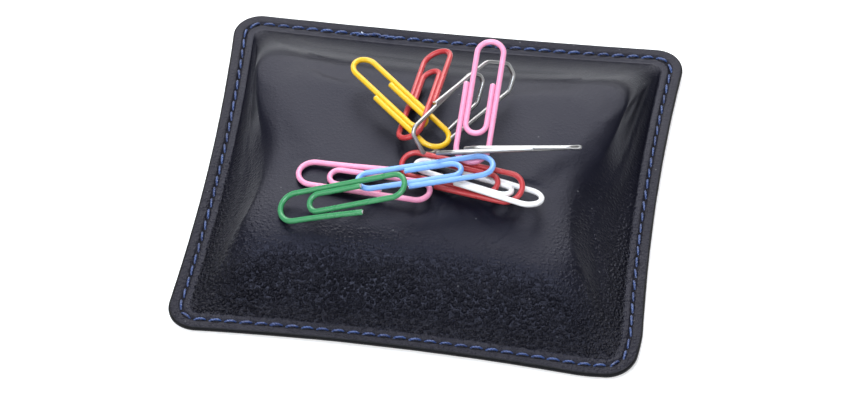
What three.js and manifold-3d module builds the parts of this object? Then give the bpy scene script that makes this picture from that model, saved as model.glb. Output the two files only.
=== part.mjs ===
// Magnetic paper clip holder: a stitched leather pad, swollen over a foam core,
// with four disc magnets under its top and ten paper clips clinging to it.
// Millimetres, +Z up, origin in the middle of the underside, front towards -Y.

import * as THREE from "three";
import { mergeVertices } from "three/addons/utils/BufferGeometryUtils.js";
import Module from "manifold-3d";

const wasm = await Module();
wasm.setup();

// Outline of the pad, before its edges are drawn in
const padWidth = 94.6;
const padDepth = 89.5;
const cornerRadius = 6.5;
const sideDrawIn = 2.0; // the left and right edges bend in this far at mid length
const endDrawIn = 1.6; // so do the front and back edges
const rightLonger = 3.6; // the right side is this much longer than the left

// Leather and how the covers meet
const leather = 0.6;
const glueLine = 0.2; // between the two covers, and under the thread
const fit = 0.3; // clearance round the pieces inside, and beside the thread
const cornerLift = 0.5; // the flange's corners clear the table by this much
const midLift = 0.8; // its edge curls up this much more at mid side
const curlReach = 8; // the curl fades out this far in from the edge
const flangeWidth = 4.2;
const underStep = 3.0; // width of the ramp from the flat underside to the flange

// The swell of the top. Its widths are those near the corners.
const padHeight = 11; // crown above the table
const crownDrop = 0.6; // from the crown to the rim of the flat top
const swellWidth = { left: 7.5, right: 9.5, front: 13, back: 12 };
const topDrawIn = 3.5; // the flat top's edges are drawn in this far between its corners
const swellBias = 1.3; // over 1 keeps the swell's foot shallow
const topCornerRadius = 9; // corners of the flat top, seen from above

// Seam
const seamInset = 2.3;
const stitchPitch = 3.05;
const threadWidth = 0.7;
const threadHeight = 0.45;
const grooveDepth = 0.35;

// Inside
const boardThickness = 2.4;
const boardReach = 0.45; // share of the swell's width that lies outside the board
const foamReach = 0.55; // the same for the foam
const magnetDiameter = 15;
const magnetHeight = 5;
const magnetSpacing = { x: 22, y: 30 };
const keeperThickness = 0.7;
const keeperMargin = 3; // past the magnets on every side
const keeperCorner = 3;

// Two kinds of paper clip: plastic-coated with round bends, bare steel with angular ones.
// "nest" is the step from a leg to the leg inside it, "freeEnd" and "innerBend" are
// measured from the wide bend.
const coated = { length: 28, width: 7.2, wire: 1.0, nest: 1.15, freeEnd: 17.4, innerBend: 6.4 };
const wider = { ...coated, width: 7.5 };
const bare = {
  length: 28.9, width: 8.9, wire: 0.86, nest: 1.05, freeEnd: 19, innerBend: 5.6,
  corners: { wide: 2.6, narrow: 1.4, inner: 1.8, stretch: 1.3, ease: 0.5 },
};

// Where each clip lies. "at" is its middle, with the height taken from the pad's crown.
// "turn" is its heading from +X, "climb" lifts its narrow end, "roll" turns it about its
// length, "spring" opens its free leg and "rise" bends its inner loop out of its plane.
const clips = [
  { name: "clip_pink_flat", kind: coated, colour: "pink", at: [-12.1, -9.5, 1.3],
    turn: 354, climb: 3, roll: 180, spring: 0.9 },
  { name: "clip_white", kind: coated, colour: "white", at: [10.5, -8.1, 2.7],
    turn: 164, climb: -2, roll: -160, spring: -0.3 },
  { name: "clip_red_flat", kind: wider, colour: "red", at: [6.6, -6.6, 2.5],
    turn: 166, climb: -5, roll: 160 },
  { name: "clip_red_upper", kind: coated, colour: "red", at: [-3.3, 14.6, 2.8],
    turn: 265, climb: 5, roll: -152 },
  { name: "clip_yellow", kind: coated, colour: "yellow", at: [-7.9, 10.2, 3.9],
    turn: 140, climb: 7, roll: 187 },
  { name: "clip_silver_tall", kind: bare, colour: "steel", at: [4.7, 10.3, 5.7],
    turn: 238, climb: 7, roll: -48, rise: -2.2 },
  { name: "clip_pink_standing", kind: wider, colour: "pink", at: [8.7, 7.9, 9.2],
    turn: 89, climb: 18, roll: 177 },
  { name: "clip_blue", kind: coated, colour: "blue", at: [0.4, -10.9, 6.7],
    turn: 198, climb: -2, roll: -171 },
  { name: "clip_green", kind: coated, colour: "green", at: [-15.1, -18.9, 5.9],
    turn: 0, climb: 23, roll: 16, spring: 0.9 },
  { name: "clip_silver_on_edge", kind: bare, colour: "steel", at: [16.1, -4.9, 10.5],
    turn: 8, climb: 1, roll: -42, rise: -0.9 },
];

// How finely curves are cut
const cornerSteps = 4;
const sideSteps = 9;
const bendSteps = 9;
const wireSides = 8;
const threadSides = 4;
const roundSteps = 32;

// Materials
const paint = (color, roughness, metalness = 0) =>
  new THREE.MeshStandardMaterial({ color, roughness, metalness });
const materials = {
  leather: paint(0x2b2c34, 0.45),
  thread: paint(0x3d5c9c, 0.6),
  foam: paint(0x4a4a4e, 0.95),
  board: paint(0x9a9488, 0.9),
  keeper: paint(0xa8abae, 0.35, 1),
  magnet: paint(0x38383b, 0.6, 0.3),
  pink: paint(0xf48ab4, 0.35),
  white: paint(0xf1efee, 0.35),
  red: paint(0xd2454a, 0.35),
  yellow: paint(0xf6d832, 0.35),
  blue: paint(0x6ea4f2, 0.35),
  green: paint(0x3d9a62, 0.35),
  steel: paint(0xc9cacb, 0.25, 1),
};

const halfWidth = padWidth / 2;
const halfDepth = padDepth / 2;
const radians = THREE.MathUtils.degToRad;
const even = (value) => ({ left: value, right: value, front: value, back: value });

// The pad's edges are drawn in between the corners, and all that follows them is too
function drawIn(x, y) {
  const alongSide = 1 - (y / halfDepth) ** 2;
  const alongEnd = 1 - (x / halfWidth) ** 2;
  const longer = (rightLonger / 4) * (x / halfWidth);
  return [
    x * (1 - (sideDrawIn * alongSide) / halfWidth),
    y * (1 + (longer - endDrawIn * alongEnd) / halfDepth),
  ];
}

// Height of the flange's underside above the table: its edge curls up between the corners
function flangeFloor(x, y, inset) {
  const towardsCorner = (x / halfWidth) ** 2 * (y / halfDepth) ** 2;
  return cornerLift + midLift * (1 - towardsCorner) * (1 - inset / curlReach);
}

// One closed line round the pad, a given distance in from each edge, anticlockwise from
// above. height(x, y) gives each point's Z, and "hollow" draws the line's own sides in.
function ring(inset, radius, height, { hollow = 0, steps = { corner: cornerSteps, side: sideSteps } } = {}) {
  const low = [-halfWidth + inset.left + radius, -halfDepth + inset.front + radius];
  const high = [halfWidth - inset.right - radius, halfDepth - inset.back - radius];
  const corners = [[high[0], high[1], 0], [low[0], high[1], 90], [low[0], low[1], 180], [high[0], low[1], 270]];
  const flat = [];
  corners.forEach(([cx, cy, startAngle]) => {
    for (let k = 0; k <= steps.corner; k++) {
      const angle = radians(startAngle + (90 * k) / steps.corner);
      flat.push([cx + radius * Math.cos(angle), cy + radius * Math.sin(angle)]);
    }
  });
  const perCorner = steps.corner + 1;
  const points = [];
  for (let c = 0; c < 4; c++) {
    points.push(...flat.slice(c * perCorner, (c + 1) * perCorner));
    const from = flat[(c + 1) * perCorner - 1];
    const to = flat[((c + 1) * perCorner) % flat.length];
    for (let k = 1; k < steps.side; k++) {
      const share = k / steps.side;
      points.push([from[0] + (to[0] - from[0]) * share, from[1] + (to[1] - from[1]) * share]);
    }
  }
  const middle = [(low[0] + high[0]) / 2, (low[1] + high[1]) / 2];
  const reach = [(high[0] - low[0]) / 2 + radius, (high[1] - low[1]) / 2 + radius];
  return points.map(([x, y]) => {
    const across = (x - middle[0]) / reach[0];
    const along = (y - middle[1]) / reach[1];
    const hollowX = x - hollow * across * (1 - along ** 2);
    const hollowY = y - hollow * along * (1 - across ** 2);
    return new THREE.Vector3(...drawIn(hollowX, hollowY), height(x, y));
  });
}

// A closed solid through a stack of such rings, from the middle of its underside,
// outwards, up and in again to the middle of its top
function loft(rings, bottomMiddle, topMiddle) {
  const count = rings[0].length;
  const corners = [bottomMiddle, ...rings.flat(), topMiddle];
  const faces = [];
  const at = (k, j) => 1 + k * count + (j % count);
  const last = rings.length - 1;
  for (let j = 0; j < count; j++) {
    faces.push(0, at(0, j + 1), at(0, j));
    for (let k = 0; k < last; k++) {
      faces.push(at(k, j), at(k, j + 1), at(k + 1, j));
      faces.push(at(k, j + 1), at(k + 1, j + 1), at(k + 1, j));
    }
    faces.push(at(last, j), at(last, j + 1), corners.length - 1);
  }
  const geometry = new THREE.BufferGeometry().setFromPoints(corners);
  geometry.setIndex(faces);
  return geometry;
}

// A round or oval wire along a line of points. "up" is square to the line everywhere but
// where it climbs; size(k) gives the wire's half width and half height at point k.
function sweep(points, up, sides, size, closed = false) {
  const count = points.length;
  const corners = [];
  points.forEach((point, k) => {
    const before = points[closed ? (k + count - 1) % count : Math.max(k - 1, 0)];
    const after = points[closed ? (k + 1) % count : Math.min(k + 1, count - 1)];
    const along = after.clone().sub(before).normalize();
    const across = along.clone().cross(up).normalize();
    const over = across.clone().cross(along);
    const [halfAcross, halfOver] = size(k);
    for (let s = 0; s < sides; s++) {
      const angle = (2 * Math.PI * s) / sides;
      corners.push(point.clone()
        .addScaledVector(across, halfAcross * Math.cos(angle))
        .addScaledVector(over, halfOver * Math.sin(angle)));
    }
  });
  const at = (k, s) => (k % count) * sides + (s % sides);
  const faces = [];
  for (let k = 0; k < (closed ? count : count - 1); k++) {
    for (let s = 0; s < sides; s++) {
      faces.push(at(k, s), at(k + 1, s), at(k, s + 1));
      faces.push(at(k + 1, s), at(k + 1, s + 1), at(k, s + 1));
    }
  }
  for (let s = 1; s < sides - 1 && !closed; s++) {
    faces.push(at(0, 0), at(0, s), at(0, s + 1));
    faces.push(at(count - 1, 0), at(count - 1, s + 1), at(count - 1, s));
  }
  const geometry = new THREE.BufferGeometry().setFromPoints(corners);
  geometry.setIndex(faces);
  return geometry;
}

// The swell: share 0 is the flange's inner edge, share 1 the rim of the flat top
const flangeStack = 2 * leather + glueLine;
const rimHeight = padHeight - crownDrop;
const swellShape = (share) => THREE.MathUtils.smoothstep(share ** swellBias, 0, 1);
const swellInset = (share) => ({
  left: flangeWidth + swellWidth.left * share,
  right: flangeWidth + swellWidth.right * share,
  front: flangeWidth + swellWidth.front * share,
  back: flangeWidth + swellWidth.back * share,
});
const flangeCorner = (inset) => Math.max(cornerRadius - inset, 1.5);
const swellCorner = (share) => THREE.MathUtils.lerp(flangeCorner(flangeWidth), topCornerRadius, share);
const meanSwell = topDrawIn + (swellWidth.left + swellWidth.right + swellWidth.front + swellWidth.back) / 4;

// How far below the cover's outside a layer lies, so that its depth square to the slope
// is the one given
function drop(depth, share) {
  const step = 0.01;
  const from = Math.max(share - step, 0);
  const to = Math.min(share + step, 1);
  const slope = ((swellShape(to) - swellShape(from)) / (to - from)) * ((rimHeight - flangeStack) / meanSwell);
  return depth * Math.hypot(1, slope);
}

function swellRing(share, depth) {
  const foot = (x, y) => flangeFloor(x, y, flangeWidth) + flangeStack;
  const height = (x, y) => THREE.MathUtils.lerp(foot(x, y), rimHeight, swellShape(share)) - drop(depth, share);
  return ring(swellInset(share), swellCorner(share), height, { hollow: topDrawIn * share });
}

// The flat top, crowned a little: rings drawn towards its middle
const topMiddle = new THREE.Vector3(
  (swellWidth.left - swellWidth.right) / 2, (swellWidth.front - swellWidth.back) / 2, padHeight);

function crownRing(share, depth) {
  return swellRing(1, depth).map((point) => {
    const moved = point.clone().lerp(topMiddle, 1 - share);
    moved.z = padHeight - crownDrop * share ** 2 - depth;
    return moved;
  });
}

const crownPoint = (depth) => topMiddle.clone().setZ(padHeight - depth);
const flangeRing = (inset, above, steps) =>
  ring(even(inset), flangeCorner(inset), (x, y) => flangeFloor(x, y, inset) + above, { steps });
const footRing = (z) => ring(even(flangeWidth + underStep), flangeCorner(flangeWidth + underStep), () => z);

// Top cover: one piece of leather, moulded over the foam, with a groove for the seam
const grooveHalf = threadWidth / 2 + fit;
const grooveSlope = 0.15;

function topCover() {
  const underside = leather + glueLine;
  const groove = flangeStack - grooveDepth;
  const rings = [
    crownRing(0.5, leather),
    ...[1, 0.8, 0.6, 0.4, 0.2].map((share) => swellRing(share, leather)),
    flangeRing(flangeWidth, underside),
    flangeRing(0, underside),
    flangeRing(0, flangeStack),
    flangeRing(seamInset - grooveHalf - grooveSlope, flangeStack),
    flangeRing(seamInset - grooveHalf, groove),
    flangeRing(seamInset + grooveHalf, groove),
    flangeRing(seamInset + grooveHalf + grooveSlope, flangeStack),
    ...[0.05, 0.2, 0.35, 0.5, 0.65, 0.8, 0.9, 1].map((share) => swellRing(share, 0)),
    crownRing(0.7, 0),
    crownRing(0.35, 0),
  ];
  return loft(rings, crownPoint(leather), crownPoint(0));
}

// Base cover: flat where it stands, ramped up to the flange, grooved for the bobbin thread
function baseCover() {
  const rings = [
    footRing(0),
    flangeRing(flangeWidth, 0),
    flangeRing(seamInset + grooveHalf + grooveSlope, 0),
    flangeRing(seamInset + grooveHalf, grooveDepth),
    flangeRing(seamInset - grooveHalf, grooveDepth),
    flangeRing(seamInset - grooveHalf - grooveSlope, 0),
    flangeRing(0, 0),
    flangeRing(0, leather),
    flangeRing(flangeWidth, leather),
    footRing(leather),
  ];
  return loft(rings, new THREE.Vector3(0, 0, 0), new THREE.Vector3(0, 0, leather));
}

// A run of thread in its groove: it swells along each stitch and dives at each hole
function seamThread(above, dive) {
  const fine = { corner: 8, side: 40 };
  const line = new THREE.CatmullRomCurve3(flangeRing(seamInset, above, fine), true);
  line.arcLengthDivisions = 2000;
  const stitches = Math.round(line.getLength() / stitchPitch);
  const points = line.getSpacedPoints(2 * stitches).slice(0, -1);
  const holeShare = 0.45;
  points.forEach((point, k) => {
    if (k % 2 === 0) point.z += dive;
  });
  const size = (k) => [threadWidth / 2, threadHeight / 2].map((half) => half * (k % 2 === 0 ? holeShare : 1));
  return sweep(points, new THREE.Vector3(0, 0, 1), threadSides, size, true);
}

// Manifold booleans work on closed meshes that share their vertices
function toSolid(geometry) {
  const bareGeometry = geometry.clone();
  bareGeometry.deleteAttribute("normal");
  bareGeometry.deleteAttribute("uv");
  const merged = mergeVertices(bareGeometry, 1e-5);
  return new wasm.Manifold(new wasm.Mesh({
    numProp: 3,
    vertProperties: new Float32Array(merged.attributes.position.array),
    triVerts: new Uint32Array(merged.index.array),
  }));
}

function toGeometry(solid) {
  const mesh = solid.getMesh();
  const geometry = new THREE.BufferGeometry();
  geometry.setAttribute("position", new THREE.BufferAttribute(mesh.vertProperties, 3));
  geometry.setIndex(new THREE.BufferAttribute(mesh.triVerts, 1));
  return geometry;
}

function plate(width, depth, radius, thickness) {
  const shape = new THREE.Shape();
  const [x, y] = [width / 2, depth / 2];
  shape.moveTo(x, radius - y);
  shape.absarc(x - radius, y - radius, radius, 0, Math.PI / 2);
  shape.absarc(radius - x, y - radius, radius, Math.PI / 2, Math.PI);
  shape.absarc(radius - x, radius - y, radius, Math.PI, 1.5 * Math.PI);
  shape.absarc(x - radius, radius - y, radius, 1.5 * Math.PI, 2 * Math.PI);
  return new THREE.ExtrudeGeometry(shape, { depth: thickness, bevelEnabled: false, curveSegments: 4 });
}

// A disc standing on z = 0
function disc(radius, height) {
  return new THREE.CylinderGeometry(radius, radius, height, roundSteps)
    .rotateX(Math.PI / 2)
    .translate(0, 0, height / 2);
}

const boardTop = leather + boardThickness;
const keeperTop = boardTop + keeperThickness;
const magnetPlaces = [-0.5, 0.5].flatMap((y) =>
  [-0.5, 0.5].map((x) => [x * magnetSpacing.x, y * magnetSpacing.y]));
const magnetNames = ["front_left", "front_right", "back_left", "back_right"];
const keeperWidth = magnetSpacing.x + magnetDiameter + 2 * keeperMargin;
const keeperDepth = magnetSpacing.y + magnetDiameter + 2 * keeperMargin;

// Stiffening board: it lies on the base cover's flat middle
function baseBoard() {
  const outline = (height) =>
    ring(swellInset(boardReach), swellCorner(boardReach), () => height, { hollow: topDrawIn * boardReach });
  return loft([outline(leather), outline(boardTop)],
    new THREE.Vector3(0, 0, leather), new THREE.Vector3(0, 0, boardTop));
}

// Foam core: fills the swell, with a pocket for each magnet and a recess for the keeper
function foamCore() {
  const depth = leather + fit;
  const foot = swellRing(foamReach, depth).map((point) => point.clone().setZ(boardTop));
  const rings = [
    foot,
    ...[foamReach, 0.65, 0.8, 0.9, 1].map((share) => swellRing(share, depth)),
    crownRing(0.5, depth),
  ];
  const block = loft(rings, topMiddle.clone().setZ(boardTop), crownPoint(depth));
  let foam = toSolid(block);
  const pocketRadius = magnetDiameter / 2 + fit;
  magnetPlaces.forEach(([x, y]) => {
    foam = foam.subtract(toSolid(disc(pocketRadius, keeperTop + magnetHeight + fit).translate(x, y, 0)));
  });
  const recess = plate(keeperWidth + 2 * fit, keeperDepth + 2 * fit, keeperCorner + fit,
    boardTop + keeperThickness + fit);
  return toGeometry(foam.subtract(toSolid(recess)));
}

// The middle line of a round bend, turning clockwise seen from above
function roundBend(cx, cy, radius, startAngle, rise = 0) {
  return Array.from({ length: bendSteps + 1 }, (_, k) => {
    const angle = radians(startAngle - (180 * k) / bendSteps);
    return new THREE.Vector3(cx + radius * Math.cos(angle), cy + radius * Math.sin(angle), rise);
  });
}

// An angular bend: two slanted corners with a flat between them, each kink eased
function angularBend(endX, fromY, toY, corner, { stretch, ease }, inwards, rise = 0) {
  const side = Math.sign(toY - fromY);
  const kinks = [
    [endX + inwards * corner * stretch, fromY],
    [endX, fromY + side * corner],
    [endX, toY - side * corner],
    [endX + inwards * corner * stretch, toY],
  ].map(([x, y]) => new THREE.Vector3(x, y, rise));
  const points = [];
  kinks.forEach((kink, k) => {
    const straightOn = new THREE.Vector3(inwards, 0, 0);
    const back = k ? kinks[k - 1].clone().sub(kink).normalize() : straightOn;
    const forth = k < 3 ? kinks[k + 1].clone().sub(kink).normalize() : straightOn;
    const start = kink.clone().addScaledVector(back, ease);
    const end = kink.clone().addScaledVector(forth, ease);
    points.push(...new THREE.QuadraticBezierCurve3(start, kink, end).getPoints(2));
  });
  return points;
}

// Middle line of a paper clip, lying in its own plane about its own middle: free leg,
// wide bend, long leg, narrow bend, return leg, inner bend, inner leg
function clipLine({ length, width, wire, nest, freeEnd, innerBend, corners }, spring = 0, rise = 0) {
  const [long, wide] = [length - wire, width - wire];
  const [outer, middle, inner] = [wide / 2, (wide - nest) / 2, (wide - 2 * nest) / 2];
  const bends = corners
    ? [
        ...angularBend(0, 0, wide, corners.wide, corners, 1),
        ...angularBend(long, wide, nest, corners.narrow, corners, -1),
        ...angularBend(innerBend, nest, wide - nest, corners.inner, corners, 1, rise),
      ]
    : [
        ...roundBend(outer, outer, outer, -90),
        ...roundBend(long - middle, wide - middle, middle, 90),
        ...roundBend(innerBend + inner, nest + inner, inner, -90, rise),
      ];
  const line = [
    new THREE.Vector3(freeEnd, -spring, 0),
    ...bends,
    new THREE.Vector3(freeEnd, wide - nest, rise / 2),
  ];
  return line.map((point) => point.sub(new THREE.Vector3(long / 2, wide / 2, 0)));
}

function clip({ name, kind, colour, at, turn, climb, roll, spring, rise }) {
  const size = () => [kind.wire / 2, kind.wire / 2];
  const geometry = sweep(clipLine(kind, spring, rise), new THREE.Vector3(0, 0, 1), wireSides, size);
  const mesh = piece(name, geometry, materials[colour], [at[0], at[1], padHeight + at[2]]);
  mesh.rotation.set(radians(roll), radians(-climb), radians(turn), "ZYX");
  return mesh;
}

function piece(name, geometry, material, position = [0, 0, 0]) {
  const mesh = new THREE.Mesh(geometry, material);
  mesh.name = name;
  mesh.position.set(...position);
  return mesh;
}

// The pad, from the table up
const pad = new THREE.Group();
const threadSink = grooveDepth - glueLine - threadHeight / 2;
const holeDive = 0.1;
pad.add(
  piece("base_cover", baseCover(), materials.leather),
  piece("bobbin_thread", seamThread(threadSink, holeDive), materials.thread),
  piece("base_board", baseBoard(), materials.board),
  piece("keeper_plate", plate(keeperWidth, keeperDepth, keeperCorner, keeperThickness), materials.keeper,
    [0, 0, boardTop]),
  piece("foam_core", foamCore(), materials.foam),
  piece("top_cover", topCover(), materials.leather),
  piece("needle_thread", seamThread(flangeStack - threadSink, -holeDive), materials.thread),
);
magnetPlaces.forEach(([x, y], k) => {
  pad.add(piece(`magnet_${magnetNames[k]}`, disc(magnetDiameter / 2, magnetHeight), materials.magnet,
    [x, y, keeperTop]));
});

// The clips that the pad holds
const pile = new THREE.Group();
clips.forEach((each) => pile.add(clip(each)));

const holder = new THREE.Group();
holder.add(pad, pile);

export default holder;
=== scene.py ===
import math

import bpy
import numpy as np
from mathutils import Euler, Matrix, Vector
from mathutils.bvhtree import BVHTree


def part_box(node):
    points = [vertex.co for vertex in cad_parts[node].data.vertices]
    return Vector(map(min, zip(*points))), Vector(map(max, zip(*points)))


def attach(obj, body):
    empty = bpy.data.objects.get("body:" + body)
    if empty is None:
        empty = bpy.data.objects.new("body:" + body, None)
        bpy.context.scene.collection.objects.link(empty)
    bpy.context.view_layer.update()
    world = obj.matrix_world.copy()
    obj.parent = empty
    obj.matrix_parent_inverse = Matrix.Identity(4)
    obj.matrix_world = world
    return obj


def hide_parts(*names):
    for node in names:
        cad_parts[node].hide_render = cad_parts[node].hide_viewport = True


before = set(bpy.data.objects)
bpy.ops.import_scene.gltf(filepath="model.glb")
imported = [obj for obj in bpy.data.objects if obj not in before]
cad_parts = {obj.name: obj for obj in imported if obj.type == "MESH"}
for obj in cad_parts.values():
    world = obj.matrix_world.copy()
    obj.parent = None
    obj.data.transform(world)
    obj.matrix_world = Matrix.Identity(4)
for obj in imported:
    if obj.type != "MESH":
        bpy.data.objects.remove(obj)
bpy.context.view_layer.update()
scene = bpy.context.scene
mm = 0.001

# The pad in millimetres. These are the sizes of the part's source.
pad = {
    "halfWidth": 47.3, "halfDepth": 44.75, "height": 11.0, "rimHeight": 10.4,
    "cornerRadius": 6.5, "leastRadius": 1.5, "topCornerRadius": 9.0,
    "sideDrawIn": 2.0, "endDrawIn": 1.6, "topDrawIn": 3.5, "rightLonger": 3.6,
    "flangeWidth": 4.2, "flangeStack": 1.4, "seamInset": 2.3,
    "swellWidth": {"left": 7.5, "right": 9.5, "front": 13.0, "back": 12.0},
}
halfWidth, halfDepth = pad["halfWidth"], pad["halfDepth"]
flangeWidth, flangeStack, seamInset = pad["flangeWidth"], pad["flangeStack"], pad["seamInset"]
padHeight, rimHeight, topDrawIn = pad["height"], pad["rimHeight"], pad["topDrawIn"]


# Points are given in millimetres
def makePiece(name, points, faces, materials, faceMaterials=None, uv=None, values=None):
    mesh = bpy.data.meshes.new(name)
    mesh.from_pydata((np.asarray(points, dtype=float) * mm).tolist(), [], faces)
    for material in materials:
        mesh.materials.append(material)
    if faceMaterials is not None:
        mesh.polygons.foreach_set("material_index", np.asarray(faceMaterials, dtype=np.int32))
    mesh.polygons.foreach_set("use_smooth", np.ones(len(mesh.polygons), dtype=bool))
    if uv is not None:
        layer = mesh.uv_layers.new(name="UVMap")
        layer.uv.foreach_set("vector", np.asarray(uv, dtype=np.float32).ravel())
    for label, numbers in (values or {}).items():
        attribute = mesh.attributes.new(label, "FLOAT", "POINT")
        attribute.data.foreach_set("value", np.asarray(numbers, dtype=np.float32))
    mesh.update()
    thing = bpy.data.objects.new(name, mesh)
    scene.collection.objects.link(thing)
    return thing


def addNode(tree, kind, inputs=None, **settings):
    node = tree.nodes.new(kind)
    for key, value in settings.items():
        setattr(node, key, value)
    for key, value in (inputs or {}).items():
        if isinstance(value, bpy.types.NodeSocket):
            tree.links.new(value, node.inputs[key])
        else:
            node.inputs[key].default_value = value
    return node


def calc(tree, operation, *values, clamp=False):
    inputs = dict(enumerate(values))
    return addNode(tree, "ShaderNodeMath", inputs, operation=operation, use_clamp=clamp).outputs[0]


def vectorCalc(tree, operation, inputs):
    return addNode(tree, "ShaderNodeVectorMath", inputs, operation=operation).outputs[0]


def spread(tree, value, low, high, newLow=0.0, newHigh=1.0, smooth=False):
    inputs = {"Value": value, "From Min": low, "From Max": high, "To Min": newLow, "To Max": newHigh}
    kind = "SMOOTHSTEP" if smooth else "LINEAR"
    return addNode(tree, "ShaderNodeMapRange", inputs, interpolation_type=kind).outputs[0]


def mixColour(tree, share, first, second):
    return addNode(tree, "ShaderNodeMix", {0: share, 6: first, 7: second}, data_type="RGBA").outputs[2]


def noise(tree, vector, scale, detail=3.0, roughness=0.5, distortion=0.0):
    return addNode(tree, "ShaderNodeTexNoise", {
        "Vector": vector, "Scale": scale, "Detail": detail, "Roughness": roughness,
        "Distortion": distortion}).outputs[0]


def place(tree):
    return addNode(tree, "ShaderNodeTexCoord").outputs["Object"]


def mapUv(tree):
    return addNode(tree, "ShaderNodeTexCoord").outputs["UV"]


def pointValue(tree, label):
    return addNode(tree, "ShaderNodeAttribute", attribute_name=label).outputs["Fac"]


def stretched(tree, vector, factors):
    return vectorCalc(tree, "MULTIPLY", {0: vector, 1: factors})


def bump(tree, height, strength, distance):
    inputs = {"Height": height, "Strength": strength, "Distance": distance}
    return addNode(tree, "ShaderNodeBump", inputs).outputs[0]


def newMaterial(name, **values):
    material = bpy.data.materials.new(name)
    material.use_nodes = True
    shader = material.node_tree.nodes["Principled BSDF"]
    for label, value in values.items():
        shader.inputs[label.replace("_", " ")].default_value = value
    return material, material.node_tree, shader


def feed(tree, target, **values):
    for label, value in values.items():
        tree.links.new(value, target.inputs[label.replace("_", " ")])


def newGroup(name, inputs, outputs):
    # An input without a value is a vector
    group = bpy.data.node_groups.new(name, "ShaderNodeTree")
    for label, value in inputs.items():
        kind = "NodeSocketVector" if value is None else "NodeSocketFloat"
        socket = group.interface.new_socket(label, in_out="INPUT", socket_type=kind)
        if value is not None:
            socket.default_value = value
    for label in outputs:
        group.interface.new_socket(label, in_out="OUTPUT", socket_type="NodeSocketFloat")
    return group, group.nodes.new("NodeGroupInput"), group.nodes.new("NodeGroupOutput")


def useGroup(tree, group, inputs):
    return addNode(tree, "ShaderNodeGroup", inputs, node_tree=group)


# Pebbled leather: rounded cells of two sizes between fine creases, with pores on top.
# The small cells, the patches and the pores are so many times as fine as the cells.
pebbleForm = {
    "stray": 0.55, "cellRim": (0.12, 0.62), "softness": (0.35, 0.3), "smallCells": 2.1, "smallShare": 0.30,
    "patches": 0.16, "patchLevels": (0.55, 1.0), "pores": 5.0, "poreShare": 0.05,
}


def grainGroup(form):
    inputs = {"Coordinates": None, "Cells": 900.0, "Strength": 1.0}
    group, entry, leave = newGroup("Pebble grain", inputs, ["Height", "Creases"])
    where, cells = entry.outputs["Coordinates"], entry.outputs["Cells"]
    wobble = addNode(group, "ShaderNodeTexNoise", {"Vector": where, "Scale": cells, "Detail": 2.0})
    push = vectorCalc(group, "SUBTRACT", {0: wobble.outputs["Color"], 1: (0.5, 0.5, 0.5)})
    push = vectorCalc(group, "SCALE", {0: push, "Scale": calc(group, "DIVIDE", form["stray"], cells)})
    moved = vectorCalc(group, "ADD", {0: where, 1: push})
    hills = []
    for size, softness in zip((cells, calc(group, "MULTIPLY", cells, form["smallCells"])), form["softness"]):
        cellTexture = addNode(group, "ShaderNodeTexVoronoi", {
            "Vector": moved, "Scale": size, "Smoothness": softness}, feature="SMOOTH_F1")
        hills.append(spread(group, cellTexture.outputs["Distance"], *form["cellRim"], 1.0, 0.0, smooth=True))
    patches = noise(group, where, calc(group, "MULTIPLY", cells, form["patches"]), 2.0)
    patchy = spread(group, patches, 0.3, 0.7, *form["patchLevels"])
    bigHills = calc(group, "MULTIPLY", hills[0], patchy)
    bothHills = calc(group, "MULTIPLY_ADD", hills[1], form["smallShare"], bigHills)
    grown = calc(group, "MULTIPLY", bothHills, entry.outputs["Strength"])
    pores = noise(group, where, calc(group, "MULTIPLY", cells, form["pores"]), 2.0, 0.6)
    feed(group, leave,
         Height=calc(group, "MULTIPLY_ADD", pores, form["poreShare"], grown),
         Creases=calc(group, "SUBTRACT", 1.0, calc(group, "MULTIPLY", *hills)))
    return group


# Smudges from handling, and a few specks of dust: the rarity is the share of cells left clean
handlingForm = {"speckCells": 9.0, "rarity": 0.965, "speckRim": (0.05, 0.16)}


def handlingGroup(form):
    inputs = {"Coordinates": None, "Scale": 60.0}
    group, entry, leave = newGroup("Handling marks", inputs, ["Smudges", "Specks"])
    where, scale = entry.outputs["Coordinates"], entry.outputs["Scale"]
    dots = addNode(group, "ShaderNodeTexVoronoi", {
        "Vector": where, "Scale": calc(group, "MULTIPLY", scale, form["speckCells"])})
    chance = addNode(group, "ShaderNodeSeparateColor", {0: dots.outputs["Color"]}).outputs[0]
    dot = spread(group, dots.outputs["Distance"], *form["speckRim"], 1.0, 0.0)
    feed(group, leave,
         Smudges=spread(group, noise(group, where, scale, 4.0, 0.55, 0.6), 0.3, 0.7),
         Specks=calc(group, "MULTIPLY", dot, calc(group, "GREATER_THAN", chance, form["rarity"])))
    return group


def drawnWireGroup():
    # Marks that run along a wire, from its own UV: u along in millimetres, v once round it
    group, entry, leave = newGroup("Drawn wire marks", {"UV": None}, ["Streaks", "Dents"])
    uv = entry.outputs["UV"]
    feed(group, leave,
         Streaks=noise(group, stretched(group, uv, (0.12, 22.0, 1.0)), 2.0, 3.0, 0.65),
         Dents=noise(group, stretched(group, uv, (0.7, 3.0, 1.0)), 1.0, 2.0, 0.5, 0.4))
    return group


grain = grainGroup(pebbleForm)
handling = handlingGroup(handlingForm)
wireMarks = drawnWireGroup()


# Colours are linear. Lengths in the looks of materials are in metres.
leatherLook = {
    "cells": 1400.0, "smudges": 70.0, "relief": 0.00042,
    "dark": (0.0022, 0.0023, 0.0052, 1), "pale": (0.0038, 0.0039, 0.0082, 1),
    # The colour for the creases between the pebbles is painted shade
    "flange": (0.0072, 0.0066, 0.0092, 1), "creaseShade": (0.002, 0.002, 0.0035, 1),
    "specks": (0.16, 0.16, 0.17, 1), "speckShare": 0.5,
    "roughness": (0.35, 0.42), "rougherFlange": 0.08, "rougherCreases": 0.12, "rougherGrain": -0.08,
    "ringWidth": 0.0007, "ringDepth": -0.16, "ringPatches": 110.0, "topAbove": 0.0098,
}


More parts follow.
